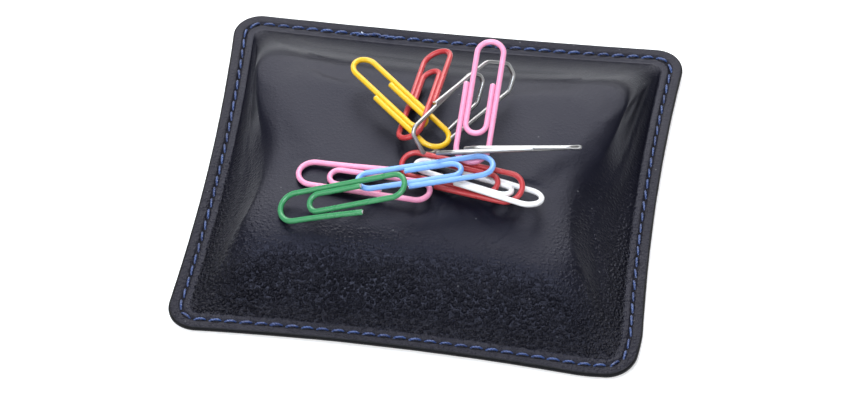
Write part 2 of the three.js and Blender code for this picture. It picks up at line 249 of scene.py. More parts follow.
def leatherMaterial(look):
    material, tree, shader = newMaterial(
        "navy_leather", IOR=1.45, Specular_IOR_Level=0.24, Specular_Tint=(0.76, 0.77, 1.0, 1))
    where = place(tree)
    coarse = pointValue(tree, "grain")
    strip = pointValue(tree, "strip")
    pebbles = useGroup(tree, grain, {"Coordinates": where, "Cells": look["cells"], "Strength": coarse})
    marks = useGroup(tree, handling, {"Coordinates": where, "Scale": look["smudges"]})
    folds = calc(tree, "MULTIPLY", pebbles.outputs["Creases"], coarse)

    # The disc nearest the reader presses a faint ring into the leather
    split = addNode(tree, "ShaderNodeSeparateXYZ", {0: where})
    low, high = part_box("magnet_front_right")
    away = [calc(tree, "SUBTRACT", split.outputs[k], (low[k] + high[k]) / 2) for k in (0, 1)]
    squares = [calc(tree, "POWER", distance, 2.0) for distance in away]
    reach = calc(tree, "SQRT", calc(tree, "ADD", *squares))
    offRing = calc(tree, "ABSOLUTE", calc(tree, "SUBTRACT", reach, (high[0] - low[0]) / 2))
    onTop = calc(tree, "GREATER_THAN", split.outputs[2], look["topAbove"])
    rim = calc(tree, "MULTIPLY", spread(tree, offRing, 0.0, look["ringWidth"], 1.0, 0.0, smooth=True), onTop)
    partial = spread(tree, noise(tree, where, look["ringPatches"], 1.0), 0.42, 0.62)
    rim = calc(tree, "MULTIPLY", rim, partial)

    tones = addNode(tree, "ShaderNodeValToRGB", {0: marks.outputs["Smudges"]})
    for element, label in zip(tones.color_ramp.elements, ("dark", "pale")):
        element.color = look[label]
    # The flange strip outside the seam is coloured lighter and greyer than the rest
    stripToned = mixColour(tree, strip, tones.outputs[0], look["flange"])
    # Painted shade: the creases between the pebbles are coloured darker, most where the grain stands out
    creaseShaded = mixColour(tree, folds, stripToned, look["creaseShade"])
    specks = calc(tree, "MULTIPLY", marks.outputs["Specks"], look["speckShare"])

    shine = spread(tree, marks.outputs["Smudges"], 0.0, 1.0, *look["roughness"])
    for mask, label in ((strip, "rougherFlange"), (folds, "rougherCreases"), (coarse, "rougherGrain")):
        shine = calc(tree, "MULTIPLY_ADD", mask, look[label], shine)
    height = calc(tree, "MULTIPLY_ADD", rim, look["ringDepth"], pebbles.outputs["Height"])
    feed(tree, shader, Base_Color=mixColour(tree, specks, creaseShaded, look["specks"]), Roughness=shine,
         Normal=bump(tree, height, 1.0, look["relief"]))
    return material


undersideLook = {
    "cells": 1100.0, "grain": 0.6, "smudges": 45.0, "roughness": (0.52, 0.66), "relief": 0.0001,
    "dark": (0.014, 0.014, 0.018, 1), "pale": (0.026, 0.026, 0.031, 1), "creaseShade": (0.007, 0.007, 0.009, 1),
}


def undersideMaterial(look):
    material, tree, shader = newMaterial("underside_leather")
    where = place(tree)
    pebbles = useGroup(tree, grain, {
        "Coordinates": where, "Cells": look["cells"], "Strength": look["grain"]})
    smudges = useGroup(tree, handling, {"Coordinates": where, "Scale": look["smudges"]}).outputs["Smudges"]
    tones = mixColour(tree, smudges, look["dark"], look["pale"])
    # Painted shade: the creases between the pebbles are coloured darker
    folds = calc(tree, "MULTIPLY", pebbles.outputs["Creases"], 0.5)
    feed(tree, shader, Base_Color=mixColour(tree, folds, tones, look["creaseShade"]),
         Roughness=spread(tree, smudges, 0.0, 1.0, *look["roughness"]),
         Normal=bump(tree, pebbles.outputs["Height"], 0.8, look["relief"]))
    return material


edgePaintLook = {
    "smudges": 220.0, "roughness": (0.34, 0.48), "waves": 700.0, "relief": 0.00016,
    "dark": (0.0008, 0.0008, 0.0012, 1), "pale": (0.0024, 0.0024, 0.0036, 1),
}


def edgePaintMaterial(look):
    material, tree, shader = newMaterial("edge_paint", IOR=1.4, Specular_IOR_Level=0.18)
    where = place(tree)
    smudges = useGroup(tree, handling, {"Coordinates": where, "Scale": look["smudges"]}).outputs["Smudges"]
    feed(tree, shader, Base_Color=mixColour(tree, smudges, look["dark"], look["pale"]),
         Roughness=spread(tree, smudges, 0.0, 1.0, *look["roughness"]),
         Normal=bump(tree, noise(tree, where, look["waves"], 3.0), 0.6, look["relief"]))
    return material


# Plies are counted along one stitch and once round it
threadLook = {
    "plies": (4.0, 2.0), "roughness": (0.26, 0.42), "relief": 0.00010,
    # The colour for the grooves between the plies is painted shade
    "dark": (0.010, 0.030, 0.125, 1), "pale": (0.024, 0.064, 0.215, 1), "between": (0.003, 0.007, 0.03, 1),
}


def threadMaterial(look):
    material, tree, shader = newMaterial(
        "blue_thread", Sheen_Weight=0.12, Sheen_Roughness=0.4, Specular_IOR_Level=0.8)
    split = addNode(tree, "ShaderNodeSeparateXYZ", {0: mapUv(tree)})
    turns = [calc(tree, "MULTIPLY", split.outputs[k], look["plies"][k]) for k in (0, 1)]
    run = calc(tree, "ADD", *turns)
    plies = calc(tree, "ABSOLUTE", calc(tree, "SINE", calc(tree, "MULTIPLY", run, math.pi)))
    fibres = noise(tree, stretched(tree, mapUv(tree), (3.0, 26.0, 1.0)), 3.0, 2.0)
    varied = noise(tree, place(tree), 260.0, 2.0)
    tone = mixColour(tree, spread(tree, varied, 0.35, 0.65), look["dark"], look["pale"])
    # Painted shade: the grooves between the plies are coloured almost black
    feed(tree, shader,
         Base_Color=mixColour(tree, spread(tree, plies, 0.0, 0.5, 0.75, 0.0), tone, look["between"]),
         Roughness=spread(tree, fibres, 0.3, 0.7, *look["roughness"]),
         Normal=bump(tree, calc(tree, "MULTIPLY_ADD", fibres, 0.25, plies), 0.9, look["relief"]))
    return material


# Wire: "tone" names the marks that mix its pale and deep colours, "streaks" is their share in the
# relief, "specks" how much the dirt covers, "dirt" how dark it is, and "relief" is a strength and a depth.
coatLook = {
    "set": {"Coat_Roughness": 0.16, "IOR": 1.52}, "tone": "Dents", "streaks": 0.25, "smudges": 190.0,
    "specks": 0.35, "dirt": 0.35, "roughness": (0.24, 0.36), "relief": (0.5, 0.00012),
}
steelLook = {
    "set": {"Metallic": 1.0}, "tone": "Streaks", "streaks": 0.6, "smudges": 240.0,
    "roughness": (0.34, 0.44), "relief": (0.10, 0.00003),
}
cutSteelLook = {**steelLook, "roughness": (0.22, 0.36)}
coatTones = {
    "pink": ((0.81, 0.31, 0.47, 1), (0.73, 0.25, 0.40, 1)),
    "white": ((0.86, 0.85, 0.84, 1), (0.77, 0.76, 0.75, 1)),
    "red": ((0.50, 0.046, 0.050, 1), (0.38, 0.030, 0.033, 1)),
    "yellow": ((0.78, 0.48, 0.013, 1), (0.68, 0.39, 0.009, 1)),
    "blue": ((0.20, 0.41, 0.80, 1), (0.15, 0.32, 0.70, 1)),
    "green": ((0.042, 0.25, 0.095, 1), (0.028, 0.19, 0.067, 1)),
}


def wireMaterial(name, look, pale, deep):
    material, tree, shader = newMaterial(name, **look["set"])
    marks = useGroup(tree, wireMarks, {"UV": mapUv(tree)})
    touched = useGroup(tree, handling, {"Coordinates": place(tree), "Scale": look["smudges"]})
    tone = mixColour(tree, marks.outputs[look["tone"]], deep, pale)
    if "specks" in look:
        dirt = tuple(look["dirt"] * part for part in deep[:3]) + (1.0,)
        tone = mixColour(tree, calc(tree, "MULTIPLY", touched.outputs["Specks"], look["specks"]), tone, dirt)
    height = calc(tree, "MULTIPLY_ADD", marks.outputs["Streaks"], look["streaks"], marks.outputs["Dents"])
    feed(tree, shader, Base_Color=tone, Normal=bump(tree, height, *look["relief"]),
         Roughness=spread(tree, touched.outputs["Smudges"], 0.0, 1.0, *look["roughness"]))
    return material


# One pattern gives each of these its colours, its shine and its relief. "noise" is a scale, a detail
# and a roughness, "cells" a scale, and "relief" a strength and a depth.
plainLooks = {
    # The awl hole is a small black dish: painted shade where a hole lies in the leather
    "awl_hole_shade": {
        "set": {"Roughness": 0.85, "Specular_IOR_Level": 0.15}, "noise": (900.0, 1.0),
        "colours": ((0.0012, 0.0012, 0.0018, 1), (0.004, 0.004, 0.006, 1))},
    "thread_knot": {
        "set": {"Roughness": 0.55}, "noise": (2400.0, 2.0), "finer": (5200.0, 2.0), "relief": (0.8, 0.00008),
        "colours": ((0.30, 0.36, 0.50, 1), (0.62, 0.66, 0.74, 1))},
    "greyboard": {
        "set": {"Roughness": 0.9}, "noise": (420.0, 4.0, 0.65), "stretch": (1.0, 4.0, 9.0),
        "contrast": (0.3, 0.7), "relief": (0.6, 0.0002),
        "colours": ((0.24, 0.215, 0.18, 1), (0.39, 0.355, 0.30, 1))},
    "rolled_steel": {
        "set": {"Metallic": 1.0}, "noise": (90.0, 3.0, 0.6), "stretch": (1.0, 30.0, 1.0),
        "roughness": (0.28, 0.45), "relief": (0.3, 0.00005),
        "colours": ((0.42, 0.43, 0.44, 1), (0.60, 0.61, 0.62, 1))},
    "sintered_ferrite": {
        "set": {"Metallic": 0.35}, "noise": (2600.0, 3.0, 0.7), "roughness": (0.50, 0.70),
        "relief": (0.5, 0.00006), "colours": ((0.026, 0.026, 0.029, 1), (0.070, 0.070, 0.075, 1))},
    "grey_foam": {
        "set": {"Roughness": 0.95}, "cells": 1600.0, "relief": (0.9, 0.0003),
        "colours": ((0.11, 0.11, 0.12, 1), (0.045, 0.045, 0.05, 1))},
}


def plainMaterial(name):
    look = plainLooks[name]
    material, tree, shader = newMaterial(name, **look["set"])
    where = stretched(tree, place(tree), look["stretch"]) if "stretch" in look else place(tree)
    if "cells" in look:
        cells = addNode(tree, "ShaderNodeTexVoronoi", {"Vector": where, "Scale": look["cells"]})
        pattern = cells.outputs["Distance"]
    else:
        pattern = noise(tree, where, *look["noise"])
    share = spread(tree, pattern, *look["contrast"]) if "contrast" in look else pattern
    feed(tree, shader, Base_Color=mixColour(tree, share, *look["colours"]))
    if "roughness" in look:
        feed(tree, shader, Roughness=spread(tree, pattern, 0.3, 0.7, *look["roughness"]))
    if "relief" in look:
        height = noise(tree, where, *look["finer"]) if "finer" in look else pattern
        feed(tree, shader, Normal=bump(tree, height, *look["relief"]))
    return material


leatherSkin = leatherMaterial(leatherLook)
underside = undersideMaterial(undersideLook)
edgePaint = edgePaintMaterial(edgePaintLook)
thread = threadMaterial(threadLook)
awlHoleShade = plainMaterial("awl_hole_shade")
knotFibre = plainMaterial("thread_knot")
brightSteel = wireMaterial("bright_wire", steelLook, (0.47, 0.465, 0.455, 1), (0.35, 0.35, 0.345, 1))
cutSteel = wireMaterial("cut_wire_end", cutSteelLook, (0.82, 0.81, 0.79, 1), (0.62, 0.61, 0.60, 1))
coats = {colour: wireMaterial(colour + "_vinyl", coatLook, *tones) for colour, tones in coatTones.items()}
print("materials made")

insideMaterials = {"base_board": plainMaterial("greyboard"), "keeper_plate": plainMaterial("rolled_steel")}
ferrite = plainMaterial("sintered_ferrite")
for corner in ("front_left", "front_right", "back_left", "back_right"):
    insideMaterials["magnet_" + corner] = ferrite
for nodeName, material in insideMaterials.items():
    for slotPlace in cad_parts[nodeName].material_slots:
        slotPlace.material = material


# The pad's lines are rings round it. An inset is a ring's distance in from each edge.
ringForm = {
    "cornerSteps": 18, "sideSteps": 84,
    "cornerCut": 1.1, "cutFrom": 0.72, "cutOver": 0.24,
    "flangeLow": 0.5, "flangeCurl": 0.8, "curlOver": 8.0,
    "swellPower": 1.3, "slackSides": 0.65, "slackBack": 0.60,
}
sides = ("left", "right", "front", "back")


def smoothstep(value):
    value = np.clip(value, 0.0, 1.0)
    return value * value * (3 - 2 * value)


def ramp(value, start, over):
    # Rises smoothly from 0 at the start to 1, or falls where over is below 0
    return smoothstep((value - start) / over)


def even(inset):
    return {side: inset for side in sides}


def drawIn(x, y):
    alongSide = 1 - (y / halfDepth) ** 2
    alongEnd = 1 - (x / halfWidth) ** 2
    longer = (pad["rightLonger"] / 4) * (x / halfWidth)
    return (x * (1 - pad["sideDrawIn"] * alongSide / halfWidth),
            y * (1 + (longer - pad["endDrawIn"] * alongEnd) / halfDepth))


def flangeFloor(x, y, inset):
    towardsCorner = (x / halfWidth) ** 2 * (y / halfDepth) ** 2
    curl = ringForm["flangeCurl"] * (1 - towardsCorner) * (1 - inset / ringForm["curlOver"])
    return ringForm["flangeLow"] + curl


def ring(inset, radius, height, hollow=0.0):
    low = (-halfWidth + inset["left"] + radius, -halfDepth + inset["front"] + radius)
    high = (halfWidth - inset["right"] - radius, halfDepth - inset["back"] - radius)
    corners = ((high[0], high[1], 0), (low[0], high[1], 90), (low[0], low[1], 180), (high[0], low[1], 270))
    cornerSteps, sideSteps = ringForm["cornerSteps"], ringForm["sideSteps"]
    arcs = []
    for centreX, centreY, start in corners:
        angles = np.radians(start + 90 * np.arange(cornerSteps + 1) / cornerSteps)
        arcs.append(np.stack([centreX + radius * np.cos(angles), centreY + radius * np.sin(angles)], 1))
    parts = []
    for k in range(4):
        start, end = arcs[k][-1], arcs[(k + 1) % 4][0]
        share = (np.arange(1, sideSteps) / sideSteps)[:, None]
        parts += [arcs[k], start + (end - start) * share]
    x, y = np.concatenate(parts).T
    middle = ((low[0] + high[0]) / 2, (low[1] + high[1]) / 2)
    across = (x - middle[0]) / ((high[0] - low[0]) / 2 + radius)
    along = (y - middle[1]) / ((high[1] - low[1]) / 2 + radius)
    movedX, movedY = drawIn(x - hollow * across * (1 - along ** 2), y - hollow * along * (1 - across ** 2))
    # The right front corner is cut a little shorter than the others
    cutFrom, cutOver = ringForm["cutFrom"], ringForm["cutOver"]
    cut = (ringForm["cornerCut"] * ramp(movedX / halfWidth, cutFrom, cutOver)
           * ramp(-movedY / halfDepth, cutFrom, cutOver))
    return np.stack([movedX - cut, movedY + cut, height(x, y) + 0 * x], 1)


def flangeCorner(inset):
    return max(pad["cornerRadius"] - inset, pad["leastRadius"])


def flangeRing(inset, above):
    return ring(even(inset), flangeCorner(inset), lambda x, y: flangeFloor(x, y, inset) + above)


def swellShape(share):
    return smoothstep(share ** ringForm["swellPower"])


meanSwell = topDrawIn + sum(pad["swellWidth"].values()) / 4


def drop(depth, share):
    # How far the inside face lies straight below the outside, at this thickness and slope
    start, end = max(share - 0.01, 0.0), min(share + 0.01, 1.0)
    slope = (swellShape(end) - swellShape(start)) / (end - start) * (rimHeight - flangeStack) / meanSwell
    return depth * math.hypot(1, slope)


def besideTop(x, y):
    # The side slopes are slacker and rounder than the one in front
    return ramp(np.abs(x) / halfWidth, 0.5, 0.25) * (1 - ramp(np.abs(y) / halfDepth, 0.50, 0.3))


def swellRing(share, depth):
    insets = {side: flangeWidth + pad["swellWidth"][side] * share for side in sides}
    radius = flangeCorner(flangeWidth) * (1 - share) + pad["topCornerRadius"] * share

    def height(x, y):
        foot = flangeFloor(x, y, flangeWidth) + flangeStack
        slack = np.maximum(ringForm["slackSides"] * besideTop(x, y),
                           ringForm["slackBack"] * ramp(y / halfDepth, 0.40, 0.25))
        shape = swellShape(share) * (1 - slack) + share * slack
        return foot + (rimHeight - foot) * shape - drop(depth, share)

    return ring(insets, radius, height, topDrawIn * share)


topMiddle = np.array([
    (pad["swellWidth"]["left"] - pad["swellWidth"]["right"]) / 2,
    (pad["swellWidth"]["front"] - pad["swellWidth"]["back"]) / 2, padHeight])


def crownRing(share, depth):
    points = swellRing(1.0, depth)
    points = points * share + topMiddle * (1 - share)
    points[:, 2] = padHeight - (padHeight - rimHeight) * share ** 2 - depth
    return points


def loft(rings, firstMiddle, lastMiddle):
    count = len(rings[0])
    points = np.concatenate([[firstMiddle], *rings, [lastMiddle]])
    column = np.arange(count)
    after = (column + 1) % count
    faces = [(0, 1 + int(after[j]), 1 + j) for j in range(count)]
    for k in range(len(rings) - 1):
        base, top = 1 + k * count, 1 + (k + 1) * count
        quads = np.stack([base + column, base + after, top + after, top + column], 1)
        faces += [tuple(quad) for quad in quads.tolist()]
    base = 1 + (len(rings) - 1) * count
    faces += [(base + j, base + int(after[j]), len(points) - 1) for j in range(count)]
    return points, faces


# The skin over the foam, pinned at the flange, swells under pressure and puckers a little.
# The trial takes every third ring and column, and no point may move further than the limit.
clothTrial = {
    "every": 3, "pinnedRings": 2, "frames": 20, "scale": 0.01, "limit": 0.25,
    "keptFrom": 0.25, "keptOver": 0.55,
    "settings": {
        "quality": 6, "mass": 0.2, "tension_stiffness": 20, "compression_stiffness": 20, "shear_stiffness": 8,
        "bending_stiffness": 1.5, "use_pressure": True, "uniform_pressure_force": 4.0, "shrink_min": 0.004,
        "vertex_group_mass": "pins",
    },
}


def simulateSkin(rings):
    count, scale, limit = len(rings[0]), clothTrial["scale"], clothTrial["limit"]
    points = np.concatenate(rings) * scale
    faces = tubeFaces(len(rings), count, False)
    faces = [(a, d, c, b) for a, b, c, d in faces]
    faces.append(tuple((len(rings) - 1) * count + j for j in range(count)))
    mesh = bpy.data.meshes.new("skin_trial")
    mesh.from_pydata(points.tolist(), [], faces)
    trial = bpy.data.objects.new("skin_trial", mesh)
    scene.collection.objects.link(trial)
    pins = trial.vertex_groups.new(name="pins")
    pins.add(list(range(clothTrial["pinnedRings"] * count)), 1.0, "REPLACE")
    cloth = trial.modifiers.new("Cloth", "CLOTH")
    for label, value in clothTrial["settings"].items():
        setattr(cloth.settings, label, value)
    cloth.settings.effector_weights.gravity = 0
    cloth.collision_settings.use_collision = False
    cloth.point_cache.frame_start = 1
    cloth.point_cache.frame_end = clothTrial["frames"]
    for number in range(1, clothTrial["frames"] + 1):
        scene.frame_set(number)
    shaped = trial.evaluated_get(bpy.context.evaluated_depsgraph_get()).to_mesh()
    moved = np.zeros(len(points) * 3)
    shaped.vertices.foreach_get("co", moved)
    moved = (moved.reshape(-1, 3) - points) / scale
    length = np.linalg.norm(moved, axis=1)
    moved *= (limit * np.tanh(length / limit) / np.maximum(length, 1e-9))[:, None]
    bpy.data.objects.remove(trial)
    bpy.data.meshes.remove(mesh)
    scene.frame_set(1)
    return moved.reshape(len(rings), count, 3)


def clothFolds(rings, firstRow):
    # What the trial moved, spread over every ring from the first row on
    count, every = len(rings[0]), clothTrial["every"]
    coarseRows = list(range(firstRow, len(rings), every))
    coarseColumns = np.arange(0, count, every)
    moved = simulateSkin([rings[k][coarseColumns] for k in coarseRows])
    position = np.arange(count) / every
    before = np.floor(position).astype(int)
    part = (position - before)[:, None]
    wide = len(coarseColumns)
    columns = moved[:, before % wide] * (1 - part) + moved[:, (before + 1) % wide] * part
    fine = np.zeros((len(rings), count, 3))
    for k in range(firstRow, len(rings)):
        at = min((k - firstRow) / every, len(coarseRows) - 1)
        lower = int(at)
        upper = min(lower + 1, len(coarseRows) - 1)
        fine[k] = columns[lower] * (1 - (at - lower)) + columns[upper] * (at - lower)
    return fine


def tubeFaces(count, sideCount, closed):
    faces = []
    for k in range(count if closed else count - 1):
        n = (k + 1) % count
        for s in range(sideCount):
            t = (s + 1) % sideCount
            faces.append((k * sideCount + s, n * sideCount + s, n * sideCount + t, k * sideCount + t))
    return faces


topCover = {
    "thickness": 0.6, "underLow": 0.85, "grooveDepth": 0.30, "grooveWidth": 0.40,
    "lip": ((0.06, 0.85), (0.0, 0.95), (0.0, 1.2), (0.07, 1.34)),
    "flangeInsets": (0.2, 0.45, 0.8, 1.15, 1.45, 1.65, 1.8, 1.95, 2.1, 2.3, 2.5, 2.65, 2.8, 2.95, 3.15, 3.4,
                     3.8),
    "backCorners": 5.0, "sides": 1.6, "reachPower": 1.4, "rimBlur": (0.4, 2.1),
}
# How far the pebbles stand out, from 0 to 1, and a fold at the left front corner where they stand out more
grainShares = {
    "inside": 0.2, "lip": 0.3, "flange": 0.24, "rim": 0.10, "slopes": 0.90, "besideTop": 0.6,
    "foldAt": (-35.5, -36.0), "foldSize": 5.5, "fold": 0.6, "top": 0.04, "topFront": 0.22, "middle": 0.06,
}


def topCoverPiece(form, amount):
    rings, grainValues, stripValues = [], [], []

    def add(points, grainValue, stripValue=0.0):
        rings.append(points)
        grainValues.append(grainValue)
        stripValues.append(stripValue)

    # Down the inside face, out under the flange and round its lip, then up over the outside
    add(crownRing(0.5, form["thickness"]), amount["inside"])
    for share in (1.0, 0.8, 0.6, 0.4, 0.2):
        add(swellRing(share, form["thickness"]), amount["inside"])
    add(flangeRing(flangeWidth, form["underLow"]), amount["inside"])
    for inset, above in form["lip"]:
        add(flangeRing(inset, above), amount["lip"], 1.0)
    for inset in form["flangeInsets"]:
        groove = form["grooveDepth"] * math.exp(-((inset - seamInset) / form["grooveWidth"]) ** 2)
        add(flangeRing(inset, flangeStack - groove), amount["flange"], 1.0 - float(ramp(inset, 2.6, 1.4)))
    swellStart = len(rings)
    shares = np.concatenate([np.linspace(0.0, 0.12, 6), np.linspace(0.15, 1.0, 40)])
    for share in shares:
        add(swellRing(share, 0.0), 0.0)
    crownStart = len(rings)
    crowns = np.concatenate([np.linspace(0.975, 0.6, 16), np.linspace(0.56, 0.04, 22)])
    for share in crowns:
        add(crownRing(share, 0.0), 0.0)

    # Pebbles stand out low on the slopes, most of all in front, and fade on the stretched top
    count = len(rings[0])
    pointGrain = np.repeat(np.array(grainValues)[:, None], count, 1)
    pointGrain[:swellStart] *= 0.35 + 0.65 * ramp(rings[0][:, 1] / rings[0][:, 1].max(), 0.75, -1.35)
    pointStrip = np.repeat(np.array(stripValues)[:, None], count, 1)
    foldX, foldY = amount["foldAt"]
    for k, share in enumerate(shares):
        x, y = rings[swellStart + k][:, :2].T
        facing = 0.08 + 0.92 * ramp(y / halfDepth, 0.45, -1.25)
        facing *= 1 - amount["besideTop"] * besideTop(x, y) * ramp(share, 0.15, 0.3)
        facing += amount["fold"] * np.exp(-((x - foldX) ** 2 + (y - foldY) ** 2) / amount["foldSize"] ** 2)
        rising = amount["rim"] + amount["slopes"] * (1 - ramp(share, 0.55, 0.6))
        pointGrain[swellStart + k] = rising * facing
    for k, share in enumerate(crowns):
        front = ramp(-rings[crownStart + k][:, 1], 6, 22)
        pointGrain[crownStart + k] = amount["top"] + amount["topFront"] * ramp(share, 0.7, 0.3) * front

    # The flat top reaches out towards its two back corners and along its sides
    for k in range(swellStart, len(rings)):
        share = shares[k - swellStart] if k < crownStart else 1.0
        points = rings[k]
        x, y = points[:, :2].T
        sideways = share ** form["reachPower"] * ramp(np.abs(x), 4, 28)
        outwards = ramp(y, -12, 28) * share ** form["reachPower"] * ramp(np.abs(x), 4, 28)
        leftSide = form["sides"] * ramp(y, -38, 12) * (x < 0)
        rightSide = form["sides"] * ramp(y, -6, 14) * (x > 0)
        points[:, 0] += np.sign(x) * (form["backCorners"] * outwards + (leftSide + rightSide) * sideways)

    # and its rim is rounded: each profile is blurred, more and more towards the rim
    stack = np.array(rings[swellStart:])
    steps = np.linalg.norm(np.diff(stack[:, :, :2], axis=0), axis=2)
    run = np.concatenate([np.zeros((1, count)), np.cumsum(steps, 0)])
    weight = np.gradient(run, axis=0)
    heights = stack[:, :, 2].copy()
    leastBlur, moreBlur = form["rimBlur"]
    for k in range(1, len(stack)):
        share = shares[k] if k < len(shares) else 1.0
        reach = leastBlur + moreBlur * smoothstep(share / 0.8)
        near = np.exp(-((run - run[k]) / reach) ** 2 / 2) * weight
        rings[swellStart + k][:, 2] = (near * heights).sum(0) / near.sum(0)

    fine = clothFolds(rings, swellStart - clothTrial["every"])
    # The middle of the top, where all the columns meet, keeps no wrinkles of the trial
    for k, share in enumerate(crowns):
        fine[crownStart + k] *= ramp(share, clothTrial["keptFrom"], clothTrial["keptOver"])
    rings = [points + folds for points, folds in zip(rings, fine)]
    print("cloth moved the skin by up to", round(float(np.abs(fine).max()), 3), "mm")
    points, faces = loft(rings, topMiddle - (0, 0, form["thickness"]), rings[-1].mean(0))
    values = {
        "grain": np.concatenate([[amount["inside"]], pointGrain.ravel(), [amount["middle"]]]),
        "strip": np.concatenate([[0.0], pointStrip.ravel(), [0.0]]),
    }
    piece = makePiece("leather_top", points, faces, [leatherSkin], values=values)
    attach(piece, "pad")
    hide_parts("top_cover")
    return piece


topPiece = topCoverPiece(topCover, grainShares)
print("top cover made")


baseCover = {
    "footInset": 7.2, "slopeWidth": 3.0, "underside": 0.35, "flange": 0.40, "topFace": 0.84, "thickness": 0.6,
    "grooveDepth": 0.2, "grooveWidth": 0.40,
    "flangeInsets": (4.2, 3.6, 3.2, 2.9, 2.7, 2.5, 2.3, 2.1, 1.9, 1.7, 1.4, 1.0, 0.5, 0.2),
    "lip": ((0.07, 0.45), (0.0, 0.55), (0.0, 0.78), (0.06, 0.84)),
}


def baseCoverPiece(form):
    def footRing(inset, z):
        return ring(even(inset), flangeCorner(inset), lambda x, y: z)

    rings = [footRing(20.0, 0.0), footRing(7.6, 0.0), footRing(form["footInset"], 0.01)]
    for share in (0.15, 0.35, 0.55, 0.75, 0.9):
        inset = form["footInset"] - form["slopeWidth"] * share
        rings.append(ring(even(inset), flangeCorner(inset),
                          lambda x, y: smoothstep(share) * (flangeFloor(x, y, inset) + form["underside"])))
    for inset in form["flangeInsets"]:
        groove = form["grooveDepth"] * math.exp(-((inset - seamInset) / form["grooveWidth"]) ** 2)
        rings.append(flangeRing(inset, form["flange"] + groove))
    rings += [flangeRing(inset, above) for inset, above in form["lip"]]
    thickness = form["thickness"]
    rings += [flangeRing(flangeWidth, form["topFace"]), footRing(7.4, thickness), footRing(20.0, thickness)]
    points, faces = loft(rings, (0, 0, 0), (0, 0, thickness))
    piece = makePiece("leather_base", points, faces, [underside])
    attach(piece, "pad")
    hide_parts("base_cover")


baseCoverPiece(baseCover)


def tube(points, closed, sideCount, reach):
    # Corners of a tube round a line; reach(k) gives its half width and half height there
    points = np.asarray(points, dtype=float)
    if closed:
        along = np.roll(points, -1, 0) - np.roll(points, 1, 0)
    else:
        along = np.gradient(points, axis=0)
    along /= np.linalg.norm(along, axis=1)[:, None]
    across = np.cross(along, np.array([0.0, 0.0, 1.0]))
    across /= np.linalg.norm(across, axis=1)[:, None]
    over = np.cross(across, along)
    angles = 2 * np.pi * np.arange(sideCount) / sideCount
    reaches = np.array([reach(k) for k in range(len(points))])
    corners = (points[:, None]
               + across[:, None] * (reaches[:, None, 0:1] * np.cos(angles)[None, :, None])
               + over[:, None] * (reaches[:, None, 1:2] * np.sin(angles)[None, :, None]))
    return corners, along


def closedTube(run, sideCount):
    # Faces and UV of a tube with both ends closed; run gives u at each of its rings
    faces = tubeFaces(len(run), sideCount, False)
    uv = []
    for start, end in zip(run[:-1], run[1:]):
        for s in range(sideCount):
            low, high = s / sideCount, (s + 1) / sideCount
            uv += [(start, low), (end, low), (end, high), (start, high)]
    last = (len(run) - 1) * sideCount
    faces += [tuple(range(sideCount)), tuple(last + s for s in reversed(range(sideCount)))]
    uv += [(0.0, 0.0)] * sideCount + [(run[-1], 0.0)] * sideCount
    return faces, uv


# The bead of edge paint, uneven as if laid on by hand
edgeBead = {"inset": 0.10, "above": 0.90, "sides": 12, "halfWidth": (0.30, 0.05), "halfHeight": (0.54, 0.04)}


def edgePaintPiece(form):
    line = flangeRing(form["inset"], form["above"])
    wave = np.random.default_rng(7).normal(0, 1, len(line))
    wave = np.convolve(np.concatenate([wave, wave, wave]), np.ones(9) / 9, "same")[len(line):2 * len(line)]
    (width, widthWave), (height, heightWave) = form["halfWidth"], form["halfHeight"]
    corners = tube(line, True, form["sides"],
                   lambda k: (width + widthWave * wave[k], height + heightWave * wave[k]))[0]
    faces = tubeFaces(len(line), form["sides"], True)
    piece = makePiece("painted_edge", corners.reshape(-1, 3), faces, [edgePaint])
    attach(piece, "pad")


edgePaintPiece(edgeBead)
print("base cover and painted edge made")


# One geometry node group sets out the stitches, and the dark dishes of painted shade in their holes, along
# the seam
def scatterGroup():
    group = bpy.data.node_groups.new("Set out along seam", "GeometryNodeTree")
    sockets = {}
    for label, kind, value in (
            ("Geometry", "NodeSocketGeometry", None), ("Shape", "NodeSocketObject", None),
            ("Slant", "NodeSocketFloat", 0.08), ("Size spread", "NodeSocketFloat", 0.06),
            ("Seed", "NodeSocketInt", 3), ("Material", "NodeSocketMaterial", None)):
        socket = group.interface.new_socket(label, in_out="INPUT", socket_type=kind)
        if value is not None:
            socket.default_value = value
        sockets[label] = socket.identifier
    group.interface.new_socket("Geometry", in_out="OUTPUT", socket_type="NodeSocketGeometry")
    entry = group.nodes.new("NodeGroupInput").outputs
    leave = group.nodes.new("NodeGroupOutput")

    shape = addNode(group, "GeometryNodeObjectInfo", {"Object": entry["Shape"]})
    heading = addNode(group, "GeometryNodeInputNamedAttribute", {"Name": "heading"}, data_type="FLOAT_VECTOR")
    tilt = addNode(group, "FunctionNodeRandomValue", {
        "Seed": entry["Seed"], 0: (0.0, 0.0, -1.0), 1: (0.0, 0.0, 1.0)}, data_type="FLOAT_VECTOR")
    tilt = vectorCalc(group, "SCALE", {0: tilt.outputs[0], "Scale": entry["Slant"]})
    turned = addNode(group, "FunctionNodeRotateRotation", {
        "Rotation": heading.outputs[0], "Rotate By": tilt}, rotation_space="LOCAL")
    least, most = (calc(group, operation, 1.0, entry["Size spread"]) for operation in ("SUBTRACT", "ADD"))
    size = addNode(group, "FunctionNodeRandomValue", {2: least, 3: most, "Seed": entry["Seed"]},
                   data_type="FLOAT")
    copies = addNode(group, "GeometryNodeInstanceOnPoints", {
        "Points": entry["Geometry"], "Instance": shape.outputs["Geometry"],
        "Rotation": turned.outputs[0], "Scale": size.outputs[1]})
    real = addNode(group, "GeometryNodeRealizeInstances", {"Geometry": copies.outputs[0]})
    finished = addNode(group, "GeometryNodeSetMaterial", {
        "Geometry": real.outputs[0], "Material": entry["Material"]})
    group.links.new(finished.outputs[0], leave.inputs[0])
    return group, sockets


scatter, scatterSockets = scatterGroup()


